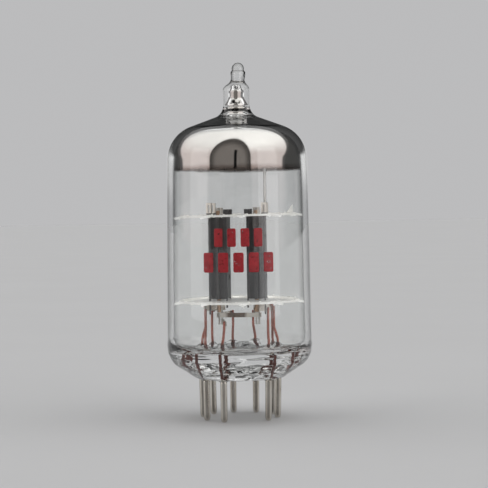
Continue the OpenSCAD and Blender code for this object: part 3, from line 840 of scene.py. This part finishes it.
def above(tree, low, high, ragged, scale=0.6):
    """0 below the height low, 1 above the height high, with a ragged line between."""
    values = {"Low": low, "High": high, "Ragged": ragged, "Scale": scale}
    return use_group(tree, "height_fade", height_group, values)["Mask"]


def shade(colour, factor):
    """A colour made darker or brighter, with no channel over 1."""
    return [min(channel * factor, 1) for channel in colour]


def principled(name, values):
    """A new material, its tree and its Principled shader, with plain values on the shader's sockets."""
    material = bpy.data.materials.new(name)
    material.use_nodes = True
    tree = material.node_tree
    shader = tree.nodes["Principled BSDF"]
    feed(tree, shader, values)
    return material, tree, shader


# ---------------------------------------------------------------- finishes


def clear_glass(glass):
    """Clear drawn glass, a little wavy, with faint dust and painted shade where it is seen edge on; lamps
    shine through it.
    """
    material, tree, shader = principled(
        "clear_glass", {"Transmission Weight": 1.0, "IOR": 1.5, "Metallic": 0.0}
    )
    clean, dust = mottle(tree, glass.glass_colour, shade(glass.glass_colour, 0.93), 0.5, 0.4)
    # Painted shade: walls are darkened where they are seen edge on, and the solid nub over more of its
    # width
    along = facing(tree)
    wall_edge_shade = ramp(tree, along, 0.6, 0.84)
    nub_edge_shade = ramp(tree, along, 0.08, 0.6)
    nub = above(tree, TOP_Z - 4.4 * MM, TOP_Z - 3 * MM, 0.0)
    edges = math_node(tree, "MAXIMUM", wall_edge_shade, math_node(tree, "MULTIPLY", nub_edge_shade, nub))
    feed(tree, shader, {
        "Base Color": mix_colour(tree, edges, clean, glass.edge_colour),
        "Roughness": math_node(tree, "MULTIPLY", dust, 0.03),
    })
    # For shadow rays the glass is clear
    path = node(tree, "ShaderNodeLightPath")
    clear = node(tree, "ShaderNodeBsdfTransparent", {"Color": (0.93, 0.94, 0.94)})
    inputs = {0: path.outputs["Is Shadow Ray"], 1: shader.outputs[0], 2: clear.outputs[0]}
    mixed = node(tree, "ShaderNodeMixShader", inputs)
    feed(tree, tree.nodes["Material Output"], {"Surface": mixed.outputs[0]})
    return material


def film_cover(tree):
    """How dense the silvering is: full above its ragged lower edge."""
    return above(tree, FILM_Z - 0.3 * MM, FILM_Z + 0.35 * MM, 0.5 * MM, scale=0.35)


def getter_mirror(glass):
    """Silvering seen through the glass: a mirror that thins out brown at its lower edge."""
    material, tree, shader = principled("getter_mirror", {"Metallic": 1.0})
    silver, spots = mottle(tree, glass.film_colour, shade(glass.film_colour, 0.86), 0.18, 0.6)
    thick = above(tree, FILM_Z, FILM_Z + 0.9 * MM, 0.7 * MM, scale=0.5)
    feed(tree, shader, {
        "Base Color": mix_colour(tree, thick, glass.film_edge_colour, silver),
        "Alpha": film_cover(tree),
        "Roughness": scaled(tree, spots, 0.05, 0.03),
    })
    return material


def getter_back():
    """The silvering's inner face: dark and dull."""
    material, tree, shader = principled("getter_back", {"Metallic": 1.0})
    soot, spots = mottle(tree, (0.16, 0.13, 0.11), (0.07, 0.055, 0.05), 0.4, 0.8)
    feed(tree, shader, {
        "Base Color": soot,
        "Alpha": film_cover(tree),
        "Roughness": scaled(tree, spots, 0.2, 0.22),
    })
    return material


def print_ink(glass):
    """Fired-on red ink with pinholes and a thin, uneven coat."""
    material, tree, shader = principled("print_ink", {"Metallic": 0.0})
    coat, thin = mottle(tree, glass.ink_colour, shade(glass.ink_colour, 0.55), 1.4, 0.7)
    specks = grain(tree, 3.2, 3.0)
    feed(tree, shader, {
        "Base Color": coat,
        "Alpha": ramp(tree, specks, 0.3, 0.42, start=0.35),
        "Roughness": scaled(tree, thin, 0.2, 0.4),
        "Normal": bump(tree, specks, 0.3, 0.02 * MM),
    })
    return material


def metal(name, colour, stain, rough, scale=1.2, stretch=1.0):
    """Bare metal with its stains, drawing marks and worn edges."""
    material, tree, shader = principled(name, {"Metallic": 1.0})
    tone, marks = mottle(tree, colour, stain, scale, 0.6, stretch)
    feed(tree, shader, {
        "Base Color": mix_colour(tree, worn_edges(tree, 0.06 * MM, 0.5), tone, shade(colour, 1.25)),
        "Roughness": scaled(tree, marks, 0.22, rough),
        "Normal": bump(tree, marks, 0.15, 0.03 * MM),
    })
    return material


def base_colour_of(material):
    """A finished material's tree, its shader, and the socket that feeds the shader's base colour."""
    tree = material.node_tree
    shader = tree.nodes["Principled BSDF"]
    return tree, shader, shader.inputs["Base Color"].links[0].from_socket


def paint_sheen_and_shade(material, low, high, middle, line, edge, rim=0.5):
    """Paints light and shade into a round wire's or pin's colour across its width: its middle, painted
    highlight lines beside it, and painted shade along its outline.
    """
    tree, shader, colour = base_colour_of(material)
    along = facing(tree)
    # Painted shade or light in the middle, and painted highlight lines beside it
    inner = ramp(tree, along, low, high, middle, line)
    # Painted shade along the outline, where the eye looks along the surface
    outer = ramp(tree, along, rim, rim + 0.3, 1.0, edge)
    inputs = {0: colour, "Scale": math_node(tree, "MULTIPLY", inner, outer)}
    tone = node(tree, "ShaderNodeVectorMath", inputs, operation="SCALE")
    feed(tree, shader, {"Base Color": tone.outputs[0]})
    return material


def pin_nickel(cage):
    """Plated pins, with a painted highlight line down each side and painted shade along the middle and the
    outline.
    """
    plated = metal("pin_nickel", cage.nickel_colour, (0.3, 0.26, 0.21), 0.16, scale=0.8, stretch=0.25)
    return paint_sheen_and_shade(plated, low=0.03, high=0.22, middle=0.6, line=1.35, edge=0.25)


def bright_wire():
    """Pale drawn wire with painted shade along its outline."""
    drawn_wire = metal("bright_wire", (0.97, 0.96, 0.94), (0.86, 0.85, 0.82), 0.5)
    return paint_sheen_and_shade(drawn_wire, low=0, high=0.1, middle=1, line=1, edge=0.15, rim=0.15)


def scorched_and_reflection_link():
    """The heaters' link: bright strip metal at its ends, and a dark brown middle that is partly scorching
    and partly painted reflection of dark surroundings.
    """
    material = metal("scorched_and_reflection_link", (0.24, 0.18, 0.14), (0.09, 0.065, 0.05), 0.36)
    tree, shader, brown = base_colour_of(material)
    # Painted reflection: bright towards the ends, dark brown in the middle, by distance along X
    from_middle = math_node(tree, "ABSOLUTE", math_node(tree, "ADD", coordinate(tree, "X"), 0.5 * MM))
    clean = ramp(tree, from_middle, 1.2 * MM, 1.7 * MM)
    feed(tree, shader, {"Base Color": mix_colour(tree, clean, brown, (0.86, 0.82, 0.76))})
    return material


def lead_copper(glass, cage):
    """Copper-clad wire: dull pink above, dark red where the glass grips it."""
    material, tree, shader = principled("lead_copper", {"Metallic": 1.0})
    tone, marks = mottle(tree, cage.copper_colour, shade(cage.copper_colour, 0.5), 1.6, 0.75)
    seal = SEAT_Z + glass.stem_height + glass.lead_bead_height
    free = above(tree, seal - 0.5 * MM, seal + 0.2 * MM, 0.4 * MM)
    feed(tree, shader, {
        "Base Color": mix_colour(tree, free, (0.15, 0.06, 0.05), tone),
        "Roughness": scaled(tree, marks, 0.25, 0.25),
        "Normal": bump(tree, marks, 0.3, 0.03 * MM),
    })
    return material


def carbonised(cage, name, bare_z):
    """Matt dark coating of the anodes, rubbed to grey metal along the edges and bare above a height."""
    material, tree, shader = principled(name, {})
    coat, thin = mottle(tree, cage.anode_colour, shade(cage.anode_colour, 1.9), 0.45, 0.55)
    rubbed = mix_colour(tree, worn_edges(tree, 0.09 * MM, 0.8), coat, (0.3, 0.29, 0.28))
    bare = above(tree, bare_z, bare_z + 0.2 * MM, 0.3 * MM)
    coat_rough = scaled(tree, thin, -0.14, 0.56)
    feed(tree, shader, {
        "Base Color": mix_colour(tree, bare, rubbed, shade(cage.nickel_colour, 1.35)),
        "Metallic": scaled(tree, bare, 0.75, 0.25),
        "Roughness": scaled(tree, bare, -0.2, coat_rough),
        "Normal": bump(tree, grain(tree, 9, 2.0), 0.35, 0.02 * MM),
    })
    return material


def sprayed_mica(cage):
    """Clear mica under an uneven white spray, densest at the rim, with a painted glow at the rim."""
    material, tree, shader = principled("sprayed_mica", {"Metallic": 0.0, "Emission Strength": 1.0})
    spray, thin = mottle(tree, cage.mica_colour, shade(cage.mica_colour, 0.8), 0.9, 0.7)
    reach = vector_node(tree, "LENGTH", vector_node(tree, "MULTIPLY", own_place(tree), (1, 1, 0)))
    rim = ramp(tree, reach, 7.4 * MM, 8.8 * MM)
    cloudy = scaled(tree, thin, 0.3, 0.5)
    # Painted glow: the rim, and its points most of all, are given a faint emission
    points = ramp(tree, reach, 9.1 * MM, 9.7 * MM)
    painted_glow = mix_colour(tree, rim, (0.08, 0.08, 0.08), (0.22, 0.22, 0.21))
    feed(tree, shader, {
        "Base Color": spray,
        "Emission Color": mix_colour(tree, points, painted_glow, (0.42, 0.42, 0.41)),
        "Alpha": math_node(tree, "MAXIMUM", cloudy, rim, clamp=True),
        "Roughness": scaled(tree, thin, 0.3, 0.35),
        "Normal": bump(tree, grain(tree, 5, 4.0), 0.5, 0.04 * MM),
    })
    return material


def coated_heater():
    """White alumina on the heater wire, with a few grey scorched places."""
    material, tree, shader = principled("heater_coating", {"Metallic": 0.0})
    chalk, scorched = mottle(tree, (0.8, 0.79, 0.76), (0.4, 0.38, 0.35), 1.1, 0.5)
    feed(tree, shader, {
        "Base Color": chalk,
        "Roughness": scaled(tree, scorched, 0.1, 0.8),
        "Normal": bump(tree, scorched, 0.4, 0.03 * MM),
    })
    return material


def pale_floor(stage):
    """Plain pale floor with a faint cloudiness."""
    material, tree, shader = principled("pale_floor", {"Metallic": 0.0, "Specular IOR Level": 0.0})
    tone, clouds = mottle(tree, stage.floor_colour, shade(stage.floor_colour, 0.97), 0.02, 0.6)
    rough = scaled(tree, clouds, 0.1, 0.6)
    feed(tree, shader, {"Base Color": tone, "Roughness": rough})
    return material


# ---------------------------------------------------------------- the stage


def make_floor(stage):
    """A wide floor at the level of the pin tips."""
    size, cells = 6.0, 12
    row = cells + 1
    places = [(i / cells - 0.5) * size for i in range(row)]
    corners = [j * row + i for j in range(cells) for i in range(cells)]
    mesh = bpy.data.meshes.new("floor")
    mesh.from_pydata(
        [(x, y, 0) for y in places for x in places], [], [(a, a + 1, a + row + 1, a + row) for a in corners]
    )
    mesh.materials.append(pale_floor(stage))
    floor = bpy.data.objects.new("floor", mesh)
    bpy.context.scene.collection.objects.link(floor)


def make_world(scene, stage):
    """The backdrop that camera and clear glass see, and a light tent that lights and is mirrored."""
    world = bpy.data.worlds.new("studio")
    world.use_nodes = True
    scene.world = world
    tree = world.node_tree
    path = node(tree, "ShaderNodeLightPath").outputs
    bounced = math_node(tree, "ADD", path["Glossy Depth"], path["Diffuse Depth"])
    straight = math_node(tree, "LESS_THAN", bounced, 0.5)
    through = math_node(tree, "MULTIPLY", path["Is Transmission Ray"], straight)
    seen = math_node(tree, "MAXIMUM", path["Is Camera Ray"], through)
    colour = mix_colour(tree, seen, light_tent(tree, stage), stage.backdrop_colour)
    feed(tree, tree.nodes["Background"], {"Color": colour})


def light_tent(tree, stage):
    """Colour by direction: white cloth at the sides and over the top, an arch left open in front."""
    direction = node(tree, "ShaderNodeTexCoord").outputs["Generated"]

    def part(x, y, z):
        """How far the direction, whose length is 1, goes along an axis."""
        return vector_node(tree, "DOT_PRODUCT", direction, (x, y, z))

    def rise(value, low, high):
        """0 up to low, 1 from high, and a smooth rise between."""
        return ramp(tree, value, low, high, smooth=True)

    turn = stage.camera_turn + stage.tent_turn
    forward, across = part(math.sin(turn), -math.cos(turn), 0), part(math.cos(turn), math.sin(turn), 0)
    away, up = part(-math.sin(stage.camera_turn), math.cos(stage.camera_turn), 0), part(0, 0, 1)

    # The arch: an oval gap in front, dim in the middle and darker at its edge
    arch_side, arch_rise = math.sin(math.radians(36)), math.sin(math.radians(75))
    wide = math_node(tree, "POWER", math_node(tree, "DIVIDE", across, arch_side), 2)
    tall = math_node(tree, "POWER", math_node(tree, "DIVIDE", up, arch_rise), 2)
    spread = math_node(tree, "ADD", wide, tall)
    gap_edge = shade(stage.gap_colour, stage.gap_edge)
    gap = mix_colour(tree, rise(spread, 0.4, 0.98), stage.gap_colour, gap_edge)

    # The camera's stand shows as a dark slit in the gap
    stand_across, stand_top, black = 0.15, 0.45, (0.01, 0.01, 0.01)
    beside = math_node(tree, "ABSOLUTE", math_node(tree, "SUBTRACT", across, stand_across))
    over = rise(up, stand_top, stand_top + 0.05)
    gap = mix_colour(tree, math_node(tree, "MAXIMUM", rise(beside, 0.025, 0.06), over), black, gap)

    # The cloth, a little brighter on the right of its top
    top_left, top_right = ([channel * side for channel in stage.tent_top] for side in (0.9, 1.1))
    top = mix_colour(tree, rise(across, -0.8, 0.8), top_left, top_right)
    white = mix_colour(tree, rise(up, 0.2, 0.85), stage.tent_low, top)
    behind = rise(math_node(tree, "MULTIPLY", forward, -1), -0.02, 0.02)
    covered = math_node(tree, "MAXIMUM", rise(spread, 0.95, 1.05), behind)
    front_part = mix_colour(tree, covered, gap, white)

    # Behind the tube it is dark, apart from a pale patch low and straight behind, which has the
    # backdrop's own colour at the horizon
    dark, pale = (stage.back_dark,) * 3, (stage.back_pale,) * 3
    patch = mix_colour(tree, rise(up, 0, 0.035), stage.backdrop_colour, pale)
    level = mix_colour(tree, rise(away, 0.64, 0.86), dark, patch)
    back_part = mix_colour(tree, rise(up, 0.065, 0.15), level, dark)
    # The tent reaches further back the higher it is
    inside = rise(scaled(tree, up, 0.8, forward), -0.1, 0.0)
    return mix_colour(tree, inside, back_part, front_part)


def make_lamps(stage):
    """A soft box on each side of the camera, standing on the floor, for reflections only."""
    distance, height, clearance = 0.26, 0.18, 0.002
    # Each box: its turn from the camera in degrees, its width, and its radiance
    for name, turn, width, radiance in (("box_left", -65, 0.15, 1.3), ("box_right", 50, 0.16, 1.6)):
        light = bpy.data.lights.new(name, "AREA")
        light.shape = "RECTANGLE"
        light.size, light.size_y = width, height
        light.energy = radiance * math.pi * width * height
        lamp = bpy.data.objects.new(name, light)
        bpy.context.scene.collection.objects.link(lamp)
        a = stage.camera_turn + math.radians(turn)
        back = Vector((math.sin(a), -math.cos(a), 0))
        lamp.location = back * distance + Vector((0, 0, height / 2 + clearance))
        lamp.rotation_euler = (-back).to_track_quat("-Z", "Y").to_euler()
        lamp.visible_camera = lamp.visible_diffuse = lamp.visible_transmission = False


def make_camera(scene, stage):
    """A long lens at the tube's own height, level with the cage."""
    data = bpy.data.cameras.new("camera")
    data.lens, data.sensor_width = stage.camera_lens, 36
    data.clip_start, data.clip_end = 0.01, 20
    # The tube stands a little left of the middle, and the view reaches lower than the lens
    data.shift_x, data.shift_y = 0.0128, -0.074
    camera = bpy.data.objects.new("camera", data)
    scene.collection.objects.link(camera)
    back = Vector((math.sin(stage.camera_turn), -math.cos(stage.camera_turn), 0))
    camera.location = back * stage.camera_distance + Vector((0, 0, stage.camera_height))
    roll = Euler((0, 0, -stage.camera_roll)).to_quaternion()
    camera.rotation_euler = ((-back).to_track_quat("-Z", "Y") @ roll).to_euler()
    scene.camera = camera


# ---------------------------------------------------------------- operators


class TUBE_OT_envelope(bpy.types.Operator):
    """Make the fused glass: bulb, foot, stem and sealed tip"""

    bl_idname = "tube.envelope"
    bl_label = "Glass envelope"

    def execute(self, context):
        glass = context.scene.tube_glass
        add_piece(
            "glass_envelope", envelope_shape(glass), [clear_glass(glass)],
            replaces=("bulb", "stem_button"),
        )
        return {"FINISHED"}


class TUBE_OT_silvering(bpy.types.Operator):
    """Make the getter's mirror inside the dome and the exhaust tube"""

    bl_idname = "tube.silvering"
    bl_label = "Getter silvering"

    def execute(self, context):
        glass = context.scene.tube_glass
        shape, silvered = film_shape(glass)
        piece = add_piece(
            "getter_silvering", shape, [getter_mirror(glass), getter_back()],
            replaces=("getter_flash",),
        )
        for polygon in piece.data.polygons:
            polygon.material_index = 0 if polygon.index < silvered else 1
        return {"FINISHED"}


class TUBE_OT_print(bpy.types.Operator):
    """Print two rows of plain red blocks on the front of the glass"""

    bl_idname = "tube.print"
    bl_label = "Printed blocks"

    def execute(self, context):
        glass = context.scene.tube_glass
        ink = print_ink(glass)
        # Each row: its height on the tube, a block's height and width, the gap between two, and how many
        rows = (
            ("upper", 28.2 * MM, 2.75 * MM, 1.3 * MM, 0.7 * MM, 4),
            ("lower", 24.5 * MM, 2.95 * MM, 1.55 * MM, 0.75 * MM, 5),
        )
        for name, middle_z, height, width, gap, count in rows:
            pitch = (width + gap) / wall_r(middle_z, glass)
            for i in range(count):
                turn = glass.print_turn - QUARTER + (i - (count - 1) / 2) * pitch
                add_piece(f"print_{name}_{i + 1}", block_shape(turn, middle_z, width, height, glass), [ink])
        return {"FINISHED"}


class TUBE_OT_pins(bpy.types.Operator):
    """Make the nine contact pins with their rounded ends"""

    bl_idname = "tube.pins"
    bl_label = "Contact pins"

    def execute(self, context):
        cage = context.scene.tube_cage
        nickel = pin_nickel(cage)
        chance = random.Random(17)
        for k in range(1, PINS + 1):
            add_piece(
                f"contact_pin_{k}", pin_shape(k, cage, chance), [nickel],
                replaces=(f"pin_{k}",),
            )
        return {"FINISHED"}


class TUBE_OT_leads(bpy.types.Operator):
    """Make the copper leads that rise from the stem to the cage"""

    bl_idname = "tube.leads"
    bl_label = "Leads"

    def execute(self, context):
        glass, cage = context.scene.tube_glass, context.scene.tube_cage
        copper = lead_copper(glass, cage)
        chance = random.Random(41)
        for k in range(1, PINS + 1):
            add_piece(
                f"copper_lead_{k}", lead_shape(k, glass, cage, chance), [copper],
                replaces=(f"lead_{k}",),
            )
        return {"FINISHED"}


class TUBE_OT_spacers(bpy.types.Operator):
    """Make the two mica spacers with their flaked rims"""

    bl_idname = "tube.spacers"
    bl_label = "Spacers"

    def execute(self, context):
        cage = context.scene.tube_cage
        mica = sprayed_mica(cage)
        # The lower spacer sits almost level
        for level, seed, tilt in (("top", 5, cage.mica_tilt), ("bottom", 6, cage.mica_tilt * 0.15)):
            add_piece(
                f"spacer_{level}", spacer_shape(f"mica_{level}", cage, seed, tilt), [mica],
                replaces=(f"mica_{level}",), smooth=False,
            )
        add_piece("torn_tooth", torn_tooth_shape(cage), [mica], smooth=False)
        return {"FINISHED"}


class TUBE_OT_cage(bpy.types.Operator):
    """Finish anodes, grids, cathodes, heaters, straps and the getter's holder"""

    bl_idname = "tube.cage"
    bl_label = "Electrode cage"

    def execute(self, context):
        cage = context.scene.tube_cage
        finish_nodes(carbonised(cage, "anode_carbon", MICA_TOP_Z), "anode_outer")
        finish_nodes(carbonised(cage, "anode_carbon_inner", TOP_Z), "anode_inner")
        finish_nodes(metal("rod_metal", (0.62, 0.42, 0.28), (0.3, 0.18, 0.12), 0.28), "grid_rods")
        finish_nodes(metal("gilded_wire", (0.85, 0.6, 0.28), (0.5, 0.3, 0.12), 0.25), "grid_wire")
        sleeve = metal("cathode_nickel", cage.nickel_colour, (0.4, 0.39, 0.37), 0.35)
        finish_nodes(sleeve, "cathode_1", "cathode_2")
        finish_nodes(coated_heater(), "heater_1", "heater_2")
        strip = metal("strap_nickel", (0.72, 0.69, 0.63), (0.42, 0.38, 0.33), 0.24)
        finish_nodes(strip, "anode_strap", "grid_strap", "cathode_strap", "heater_strap", "tap_strap")
        finish_nodes(scorched_and_reflection_link(), "heater_link")
        finish_nodes(metal("getter_metal", (0.4, 0.38, 0.36), (0.18, 0.16, 0.15), 0.35), "getter_ring")
        add_piece(
            "getter_wire", getter_wire_shape(cage), [bright_wire()],
            replaces=("getter_post",),
        )
        return {"FINISHED"}


class TUBE_OT_stage(bpy.types.Operator):
    """Make the floor, the backdrop's colour, the lamps and the camera"""

    bl_idname = "tube.stage"
    bl_label = "Stage"

    def execute(self, context):
        scene = context.scene
        stage = scene.tube_stage
        make_floor(stage)
        make_world(scene, stage)
        make_lamps(stage)
        make_camera(scene, stage)
        scene.view_settings.view_transform = "Standard"
        return {"FINISHED"}


class TUBE_PT_panel(bpy.types.Panel):
    """Panel in the 3D view's sidebar that lists the sizes, colours and pieces"""

    bl_idname = "TUBE_PT_panel"
    bl_label = "Miniature twin triode"
    bl_space_type = "VIEW_3D"
    bl_region_type = "UI"
    bl_category = "Tube"

    def draw(self, context):
        for name, cls in SETTINGS.items():
            box = self.layout.box()
            for setting in cls.__annotations__:
                box.prop(getattr(context.scene, name), setting)
        for operator in OPERATORS:
            self.layout.operator(operator.bl_idname)


OPERATORS = (
    TUBE_OT_envelope,
    TUBE_OT_silvering,
    TUBE_OT_print,
    TUBE_OT_pins,
    TUBE_OT_leads,
    TUBE_OT_spacers,
    TUBE_OT_cage,
    TUBE_OT_stage,
)
SETTINGS = {
    "tube_glass": TubeGlassSettings,
    "tube_cage": TubeCageSettings,
    "tube_stage": TubeStageSettings,
}


def register():
    """Adds the settings, the operators and the panel to Blender."""
    for cls in (*SETTINGS.values(), *OPERATORS, TUBE_PT_panel):
        bpy.utils.register_class(cls)
    for name, cls in SETTINGS.items():
        setattr(bpy.types.Scene, name, PointerProperty(type=cls))


def unregister():
    """Takes them out again."""
    for name in SETTINGS:
        delattr(bpy.types.Scene, name)
    for cls in (TUBE_PT_panel, *reversed(OPERATORS), *reversed(SETTINGS.values())):
        bpy.utils.unregister_class(cls)


def main():
    """Registers the add-on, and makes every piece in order."""
    register()
    for operator in OPERATORS:
        getattr(bpy.ops.tube, operator.bl_idname.removeprefix("tube."))()


if __name__ == "__main__":
    main()
